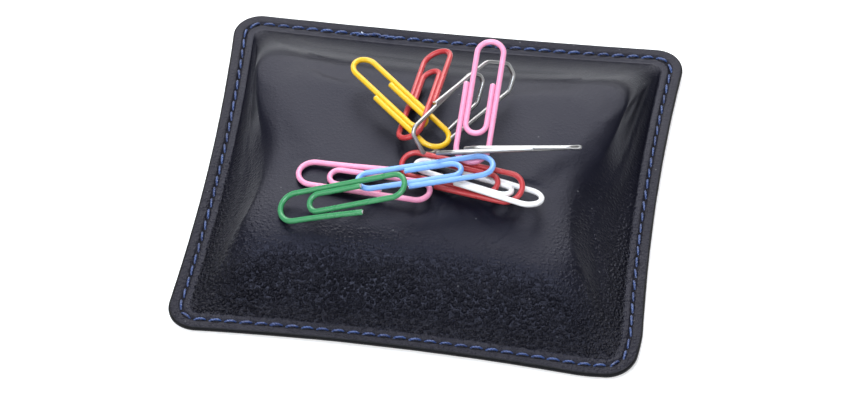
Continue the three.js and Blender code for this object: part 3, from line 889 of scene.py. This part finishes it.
def setOut(name, places, headings, **inputs):
    piece = makePiece(name, places, [], [])
    attribute = piece.data.attributes.new("heading", "FLOAT_VECTOR", "POINT")
    attribute.data.foreach_set("vector", np.asarray(headings, dtype=np.float32).ravel())
    modifier = piece.modifiers.new("Set out", "NODES")
    modifier.node_group = scatter
    for label, value in inputs.items():
        modifier[scatterSockets[label.replace("_", " ")]] = value
    bpy.context.view_layer.update()
    evaluated = piece.evaluated_get(bpy.context.evaluated_depsgraph_get())
    solid = bpy.data.meshes.new_from_object(evaluated)
    piece.modifiers.clear()
    piece.data = solid
    solid.name = name
    solid.polygons.foreach_set("use_smooth", np.ones(len(solid.polygons), dtype=bool))
    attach(piece, "pad")
    return piece


# Back-stitches are given by the distance along the seam, the shift across it and the turn.
# Spreads are the random slant and size of the stitches, then of the holes. A heading is taken between
# two points of the seam, one ahead and one behind by the sight.
seamForm = {
    "pitch": 3.05, "sight": 0.6, "turn": 0.12, "backStitchLift": 0.12,
    "stitchSpread": (0.07, 0.07), "holeSpread": (0.2, 0.12),
}
seams = {
    "needle": {
        "node": "needle_thread", "above": flangeStack + 0.08, "holesAbove": flangeStack - 0.285, "seed": 3,
        "underneath": False,
        "backStitches": [(61.2, 0.22, 0.12), (64.2, -0.18, -0.1), (67.2, 0.2, 0.1), (190.6, 0.05, 0.0)]},
    "bobbin": {
        "node": "bobbin_thread", "above": 0.30, "holesAbove": 0.60, "seed": 11, "underneath": True,
        "backStitches": []},
}
stitchForm = {
    "shares": np.array([-1.0, -0.93, -0.78, -0.45, 0.0, 0.45, 0.78, 0.93, 1.0]), "sides": 6,
    "halfLength": 1.27, "crown": 0.07, "dive": 0.62, "thinning": 0.50, "halfWidth": 0.25, "halfHeight": 0.22,
}
holeForm = {
    "halfLength": 0.40, "halfWidth": 0.30, "sides": 8, "bottom": -0.12,
    "rings": ((0.8, -0.06), (1.0, 0.0), (0.7, 0.03)),
}
knotForm = {
    "at": 67.3, "above": flangeStack + 0.25, "turns": ((0.4, 0.0), (1.9, 0.12)), "thickness": 0.10,
    "halfLength": 0.26, "halfWidth": 0.12, "wave": 0.05, "steps": 14, "sides": 8,
}


def seamPlaces(above):
    line = flangeRing(seamInset, above)
    around = np.concatenate([line, line[:1]])
    lengths = np.concatenate([[0], np.cumsum(np.linalg.norm(np.diff(around, axis=0), axis=1))])
    stitches = round(lengths[-1] / seamForm["pitch"])
    stepLength = lengths[-1] / stitches

    def at(distance):
        distance = np.mod(distance, lengths[-1])
        return np.stack([np.interp(distance, lengths, around[:, k]) for k in range(3)], -1)

    return at, stitches, stepLength


def headingsOf(at, distances, underneath):
    ahead = at(distances + seamForm["sight"]) - at(distances - seamForm["sight"])
    turn = np.arctan2(ahead[:, 1], ahead[:, 0])
    pitch = -np.arctan2(ahead[:, 2], np.hypot(ahead[:, 0], ahead[:, 1]))
    roll = np.full(len(turn), math.pi if underneath else 0.0)
    return np.stack([roll, pitch, turn], 1)


def stitchShape(form):
    # One stitch lying along X: full in the middle, diving into a hole at each end
    shares = form["shares"]
    line = np.stack([
        form["halfLength"] * shares, 0 * shares, form["crown"] - form["dive"] * np.abs(shares) ** 3], 1)
    fullness = 1 - form["thinning"] * np.abs(shares) ** 4
    corners = tube(line, False, form["sides"],
                   lambda k: (form["halfWidth"] * fullness[k], form["halfHeight"] * fullness[k]))[0]
    faces, uv = closedTube((shares + 1) / 2, form["sides"])
    return makePiece("stitch_shape", corners.reshape(-1, 3), faces, [thread], uv=uv)


# A shallow black dish for each awl hole: painted shade in place of a hole cut in the leather
def holeShape(form):
    sideCount = form["sides"]
    angles = 2 * np.pi * np.arange(sideCount) / sideCount
    rings = [np.array([(form["halfLength"] * reach * math.cos(a), form["halfWidth"] * reach * math.sin(a), z)
                       for a in angles]) for reach, z in form["rings"]]
    points, faces = loft(rings, (0, 0, form["bottom"]), (0, 0, form["rings"][-1][1]))
    return makePiece("hole_shape", points, faces, [awlHoleShade])


stitch = stitchShape(stitchForm)
hole = holeShape(holeForm)


def seamPieces(label):
    form = seams[label]
    node, underneath = form["node"], form["underneath"]
    at, stitches, stepLength = seamPlaces(form["above"])
    middles = (np.arange(stitches) + 0.5) * stepLength
    places = at(middles)
    headings = headingsOf(at, middles, underneath)
    headings[:, 2] += seamForm["turn"]
    for distance, sideways, turned in form["backStitches"]:
        spot = at(np.array([distance]))
        heading = headingsOf(at, np.array([distance]), underneath)
        across = np.array([-math.sin(heading[0, 2]), math.cos(heading[0, 2]), 0.0])
        places = np.concatenate([places, spot + across * sideways + (0, 0, seamForm["backStitchLift"])])
        heading[0, 2] += turned
        headings = np.concatenate([headings, heading])
    slant, sizeSpread = seamForm["stitchSpread"]
    sewn = setOut(label + "_stitches", places, headings, Shape=stitch, Slant=slant, Size_spread=sizeSpread,
                  Seed=form["seed"], Material=thread)
    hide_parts(node)
    atHole, stitches, stepLength = seamPlaces(form["holesAbove"])
    ends = np.arange(stitches) * stepLength
    slant, sizeSpread = seamForm["holeSpread"]
    pricked = setOut(label + "_holes", atHole(ends), headingsOf(atHole, ends, underneath), Shape=hole,
                     Slant=slant, Size_spread=sizeSpread, Seed=form["seed"] + 1, Material=awlHoleShade)
    print(label, "seam:", stitches, "stitches")


def knotPiece(form):
    # Two crossed turns of pale waxed end where the seam was back-stitched
    middle = seamPlaces(form["above"])[0](np.array([form["at"]]))[0]
    angles = np.linspace(0, 2 * np.pi, form["steps"] + 1)[:-1]
    points, faces = [], []
    for turned, lift in form["turns"]:
        loop = np.stack([form["halfLength"] * np.cos(angles), form["halfWidth"] * np.sin(angles),
                         form["wave"] * np.sin(2 * angles) + lift], 1)
        spin = np.array([[math.cos(turned), -math.sin(turned), 0], [math.sin(turned), math.cos(turned), 0],
                         [0, 0, 1]])
        corners = tube(loop @ spin.T + middle, True, form["sides"],
                       lambda k: (form["thickness"], form["thickness"]))[0]
        loopFaces = tubeFaces(form["steps"], form["sides"], True)
        faces += [tuple(v + len(points) for v in face) for face in loopFaces]
        points += corners.reshape(-1, 3).tolist()
    piece = makePiece("seam_knot", points, faces, [knotFibre])
    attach(piece, "pad")


seamPieces("needle")
knotPiece(knotForm)
seamPieces("bobbin")
for shape in (stitch, hole):
    bpy.data.objects.remove(shape)


# The foam is the CAD solid, with corners that lie within a hundredth of a millimetre merged. Where the
# slack skin lies low, the foam is pressed down with it, to a gap below the skin but never below its
# least height.
foamForm = {"gap": 1.1, "leastHeight": 2.0, "pressedFrom": 2.2, "rayFrom": 60, "stepsInMetre": 1e5}


def foamPiece(form):
    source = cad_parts["foam_core"].data
    points = np.zeros(len(source.vertices) * 3)
    source.vertices.foreach_get("co", points)
    points = points.reshape(-1, 3)
    rounded = np.round(points * form["stepsInMetre"])
    first, inverse = np.unique(rounded, axis=0, return_index=True, return_inverse=True)[1:]
    inverse = inverse.ravel()
    faces = [tuple(int(inverse[v]) for v in polygon.vertices) for polygon in source.polygons]
    faces = [face for face in faces if len(set(face)) == 3]
    points = points[first] * 1000
    skin = topPiece.data
    skinFaces = [tuple(face.vertices) for face in skin.polygons]
    tree = BVHTree.FromPolygons([vertex.co for vertex in skin.vertices], skinFaces)
    for k, (x, y, z) in enumerate(points):
        if z > form["pressedFrom"]:
            hit = tree.ray_cast(Vector((x, y, form["rayFrom"])) * mm, Vector((0, 0, -1)))[0]
            if hit is not None:
                points[k, 2] = min(z, max(hit.z * 1000 - form["gap"], form["leastHeight"]))
    piece = makePiece("foam_padding", points, faces, [plainMaterial("grey_foam")])
    print("foam:", len(points), "corners")
    for polygon in piece.data.polygons:
        polygon.use_smooth = False
    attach(piece, "pad")
    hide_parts("foam_core")


foamPiece(foamForm)
print("seams and foam made")


# Paper clips, in the order of the pile. "at" is a clip's middle, measured from the flat top. It is turned
# about Z, climbs along its length and rolls about it. "spring" bows its free leg out, "rise" lifts its
# inner loop, and "longer" and "innerLonger" lengthen its two ends.
coatedClip = {"length": 28, "width": 7.2, "wire": 1.0, "nest": 1.15, "freeEnd": 17.4, "innerBend": 6.4}
widerClip = {**coatedClip, "width": 7.5}
shortClip = {**widerClip, "length": 26.8, "innerBend": 5.2}
bareCorners = {"wide": (2.6, 2.6), "narrow": (1.4, 1.4), "inner": (1.8, 1.8), "stretch": 1.3, "ease": 0.75}
bareClip = {"length": 28.9, "width": 8.9, "wire": 0.86, "nest": 1.05, "freeEnd": 19, "innerBend": 5.6,
            "corners": bareCorners}
bentClip = {**bareClip, "length": 27.9, "innerBend": 5.3, "corners": {
    **bareCorners, "wide": (3.2, 2.1), "narrow": (1.3, 1.0), "inner": (1.4, 2.9)}}

clips = [
    {"node": "clip_pink_flat", "body": "pink_clip", "kind": coatedClip, "colour": "pink",
     "at": (-12.1, -9.5, 1.3), "turn": 354, "climb": 3, "roll": 180, "spring": 0.9},
    {"node": "clip_white", "body": "front_hooked_pair", "kind": coatedClip, "colour": "white",
     "at": (10.5, -8.1, 2.7), "turn": 164, "climb": -2, "roll": -160, "spring": -0.3},
    {"node": "clip_red_flat", "body": "front_hooked_pair", "kind": shortClip, "colour": "red",
     "at": (6.98, -6.84, 2.33), "turn": 165.9, "climb": -5.5, "roll": 164},
    {"node": "clip_red_upper", "body": "back_hooked_pair", "kind": coatedClip, "colour": "red",
     "at": (-3.3, 14.6, 2.8), "turn": 265, "climb": 5, "roll": -152},
    {"node": "clip_yellow", "body": "back_hooked_pair", "kind": coatedClip, "colour": "yellow",
     "at": (-7.9, 10.2, 3.9), "turn": 140, "climb": 7, "roll": 187, "innerLonger": 1.0},
    {"node": "clip_silver_tall", "body": "tall_silver_clip", "kind": bentClip, "colour": "steel",
     "at": (5.21, 9.97, 5.76), "turn": 234.1, "climb": -3.1, "roll": -55.1, "rise": -3.0},
    {"node": "clip_pink_standing", "body": "standing_pink_clip", "kind": widerClip, "colour": "pink",
     "at": (8.7, 7.9, 9.2), "turn": 89, "climb": 18, "roll": 177},
    {"node": "clip_blue", "body": "blue_clip", "kind": coatedClip, "colour": "blue",
     "at": (0.4, -10.9, 6.7), "turn": 198, "climb": -2, "roll": -171},
    {"node": "clip_green", "body": "green_clip", "kind": coatedClip, "colour": "green",
     "at": (-15.1, -18.9, 5.9), "turn": 0, "climb": 23, "roll": 16, "spring": 0.9, "longer": 0.7},
    {"node": "clip_silver_on_edge", "body": "silver_clip_on_edge", "kind": bareClip, "colour": "steel",
     "at": (16.15, -5.41, 10.09), "turn": 6.1, "climb": 5.5, "roll": -47.4, "rise": 0.66},
]

# Each end of the wire: the coat's lip, then the cut steel core that stands out of it.
# A pair is the push out along the wire and the share of its radius.
wireForm = {
    "sides": 18, "bendSteps": 28, "springPower": 1.35, "coatedRadius": 0.565, "coatedCore": 0.72,
    "lip": [(0.05, 0.95), (0.07, 0.86), (0.05, 0.72)], "chamfer": [(0.14, 1.0), (0.19, 0.86), (0.19, 0.4)],
}


def straight(start, end, steps):
    share = (np.arange(1, steps) / steps)[:, None]
    return list(np.asarray(start) + (np.asarray(end) - np.asarray(start)) * share)


def roundBend(cx, cy, radius, startAngle, rise=0.0):
    steps = wireForm["bendSteps"]
    angles = np.radians(startAngle - 180 * np.arange(steps + 1) / steps)
    return list(np.stack([cx + radius * np.cos(angles), cy + radius * np.sin(angles), rise + 0 * angles], 1))


def angularBend(endX, fromY, toY, cuts, corners, inwards, rise=0.0):
    side = math.copysign(1, toY - fromY)
    stretch, ease = corners["stretch"], corners["ease"]
    kinks = [np.array(p + (rise,)) for p in (
        (endX + inwards * cuts[0] * stretch, fromY), (endX, fromY + side * cuts[0]),
        (endX, toY - side * cuts[1]), (endX + inwards * cuts[1] * stretch, toY))]
    points = []
    outwards = np.array([inwards, 0.0, 0.0])
    for k, kink in enumerate(kinks):
        back = kinks[k - 1] - kink if k else outwards
        forth = kinks[k + 1] - kink if k < 3 else outwards
        start = kink + back / np.linalg.norm(back) * ease
        end = kink + forth / np.linalg.norm(forth) * ease
        share = np.linspace(0, 1, 7)[:, None]
        points += list(start * (1 - share) ** 2 + kink * 2 * share * (1 - share) + end * share ** 2)
    return points


def clipLine(clip):
    kind = clip["kind"]
    spring, rise = clip.get("spring", 0.0), clip.get("rise", 0.0)
    long, wide = kind["length"] - kind["wire"], kind["width"] - kind["wire"]
    nest = kind["nest"]
    outer, middle, inner = wide / 2, (wide - nest) / 2, (wide - 2 * nest) / 2
    if "corners" in kind:
        corners = kind["corners"]
        bends = [
            angularBend(0, 0, wide, corners["wide"], corners, 1),
            angularBend(long, wide, nest, corners["narrow"], corners, -1),
            angularBend(kind["innerBend"], nest, wide - nest, corners["inner"], corners, 1, rise)]
    else:
        bends = [
            roundBend(outer, outer, outer, -90),
            roundBend(long - middle, wide - middle, middle, 90),
            roundBend(kind["innerBend"] + inner, nest + inner, inner, -90, rise)]
    free = np.array([kind["freeEnd"] + clip.get("longer", 0.0), -spring, 0.0])
    tip = np.array([kind["freeEnd"] + clip.get("innerLonger", 0.0), wide - nest, rise / 2])
    line = [free]
    for share in np.arange(1, 12) / 12:
        point = free * (1 - share) + bends[0][0] * share
        point[1] = -spring * (1 - share) ** wireForm["springPower"]
        line.append(point)
    line += bends[0] + straight(bends[0][-1], bends[1][0], 14)
    line += bends[1] + straight(bends[1][-1], bends[2][0], 12)
    line += bends[2] + straight(bends[2][-1], tip, 10) + [tip]
    return np.array(line) - (long / 2, wide / 2, 0)


def clipPiece(clip):
    bare = clip["colour"] == "steel"
    line = clipLine(clip)
    radius = clip["kind"]["wire"] / 2 if bare else wireForm["coatedRadius"]
    sideCount = wireForm["sides"]
    corners, along = tube(line, False, sideCount, lambda k: (radius, radius))
    core = 1.0 if bare else wireForm["coatedCore"]
    profile = [] if bare else list(wireForm["lip"])
    profile += [(push, core * share) for push, share in wireForm["chamfer"]]

    def endRings(k, outwards):
        middle = line[k]
        return [middle + outwards * along[k] * push + (corners[k] - middle) * share
                for push, share in profile]

    rings = endRings(0, -1)[::-1] + list(corners) + endRings(len(line) - 1, 1)
    middles = np.array([each.mean(0) for each in rings])
    run = np.concatenate([[0], np.cumsum(np.linalg.norm(np.diff(middles, axis=0), axis=1))])
    faces, uv = closedTube(run, sideCount)
    bands, coreRows = len(rings) - 1, 2 if bare else 3
    isCut = [int(k < coreRows or k >= bands - coreRows) for k in range(bands)]
    faceMaterials = [*np.repeat(isCut, sideCount), 1, 1]
    turn = Euler([math.radians(angle) for angle in (clip["roll"], -clip["climb"], clip["turn"])], "XYZ")
    x, y, z = clip["at"]
    points = np.concatenate(rings) @ np.array(turn.to_matrix()).T + (x, y, padHeight + z)
    skin = brightSteel if bare else coats[clip["colour"]]
    piece = makePiece(clip["node"] + "_wire", points, faces, [skin, cutSteel], faceMaterials, uv)
    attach(piece, clip["body"])
    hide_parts(clip["node"])


for clip in clips:
    clipPiece(clip)
print("clips made")


# The floor glows only for the camera and in reflections, not as a lamp
floorForm = {"half": 6000, "colour": (0.62, 0.62, 0.62, 1), "glow": 0.56}
# Lamps aim at one point: position, width and height in metres, watts and colour
lampTarget = (0, 0, 0.01)
plain, cool = (1, 1, 1), (0.80, 0.88, 1.0)
lamps = {
    "back_softbox": ((-0.12, 0.73, 0.48), (0.72, 0.45), 5.8, plain),
    "back_top": ((-0.12, 0.45, 0.71), (0.6, 0.25), 2.4, plain),
    "overhead": ((-0.06, 0.02, 0.78), (0.28, 0.28), 1.6, cool),
    "front_top": ((-0.07, -0.42, 0.70), (0.28, 0.28), 5.0, cool),
    "left_front_fill": ((-0.62, -0.62, 0.50), (0.5, 0.5), 3.0, plain),
    "right_front_fill": ((0.66, -0.60, 0.50), (0.5, 0.5), 2.0, plain),
}
worldTones = ((0.0, (0.03, 0.03, 0.032, 1)), (0.9, (0.42, 0.425, 0.44, 1)))


def floorPiece(form):
    half = form["half"]
    floor = makePiece("floor", [(-half, -half, 0), (half, -half, 0), (half, half, 0), (-half, half, 0)],
                      [(0, 1, 2, 3)], [])
    material, tree, shader = newMaterial(
        "pale_floor", Roughness=0.9, Base_Color=form["colour"], Specular_IOR_Level=0.0,
        Emission_Color=(1, 1, 1, 1))
    seen = addNode(tree, "ShaderNodeLightPath").outputs
    direct = calc(tree, "ADD", seen["Is Camera Ray"], seen["Is Glossy Ray"])
    direct = calc(tree, "ADD", direct, seen["Is Transmission Ray"], clamp=True)
    feed(tree, shader, Emission_Strength=calc(tree, "MULTIPLY", direct, form["glow"]))
    # From below the floor lets the underside be seen
    below = addNode(tree, "ShaderNodeNewGeometry").outputs["Backfacing"]
    clear = addNode(tree, "ShaderNodeBsdfTransparent").outputs[0]
    oneSided = addNode(tree, "ShaderNodeMixShader", {0: below, 1: shader.outputs[0], 2: clear})
    feed(tree, tree.nodes["Material Output"], Surface=oneSided.outputs[0])
    floor.data.materials.append(material)


def areaLight(name, position, size, power, colour):
    lamp = bpy.data.lights.new(name, "AREA")
    lamp.shape = "RECTANGLE"
    lamp.size, lamp.size_y = size
    lamp.energy = power
    lamp.color = colour
    light = bpy.data.objects.new(name, lamp)
    light.location = position
    light.rotation_euler = (Vector(lampTarget) - Vector(position)).to_track_quat("-Z", "Y").to_euler()
    scene.collection.objects.link(light)


def studioWorld(tones):
    world = bpy.data.worlds.new("studio")
    world.use_nodes = True
    tree = world.node_tree
    direction = addNode(tree, "ShaderNodeTexCoord").outputs["Generated"]
    rise = addNode(tree, "ShaderNodeSeparateXYZ", {0: direction}).outputs[2]
    shade = addNode(tree, "ShaderNodeValToRGB", {0: rise})
    for element, (position, colour) in zip(shade.color_ramp.elements, tones):
        element.position = position
        element.color = colour
    feed(tree, tree.nodes["Background"], Color=shade.outputs[0])
    scene.world = world


floorPiece(floorForm)
studioWorld(worldTones)
for name, settings in lamps.items():
    areaLight(name, *settings)


# Fitted to the ten clips and the pad's outline: a long lens, almost without perspective.
# The focal length and the picture's width are in pixels, angles in degrees, the sensor in
# millimetres and the rest in metres.
cameraFit = {
    "focal": 4443.0, "pictureWidth": 854, "elevation": 47.40, "azimuth": 8.01, "distance": 0.897,
    "aim": (0, -0.0007, 0.002), "shiftRight": -0.00075, "shiftUp": -0.00301, "sensor": 36,
}


def photographCamera(fit):
    elevation, azimuth = math.radians(fit["elevation"]), math.radians(fit["azimuth"])
    back = Vector((math.sin(azimuth) * math.cos(elevation), -math.cos(azimuth) * math.cos(elevation),
                   math.sin(elevation)))
    right = (-back).cross(Vector((0, 0, 1))).normalized()
    up = right.cross(-back)
    lens = bpy.data.cameras.new("photograph_camera")
    lens.sensor_width = fit["sensor"]
    lens.sensor_fit = "HORIZONTAL"
    lens.lens = fit["focal"] / fit["pictureWidth"] * fit["sensor"]
    lens.clip_start = 0.05
    lens.clip_end = 50
    camera = bpy.data.objects.new("photograph_camera", lens)
    turned = Matrix((right, up, back)).transposed().to_4x4()
    spot = Vector(fit["aim"]) + back * fit["distance"] + right * fit["shiftRight"] + up * fit["shiftUp"]
    camera.matrix_world = Matrix.Translation(spot) @ turned
    scene.collection.objects.link(camera)
    scene.camera = camera


photographCamera(cameraFit)
scene.view_settings.view_transform = "Standard"

print("scene ready")
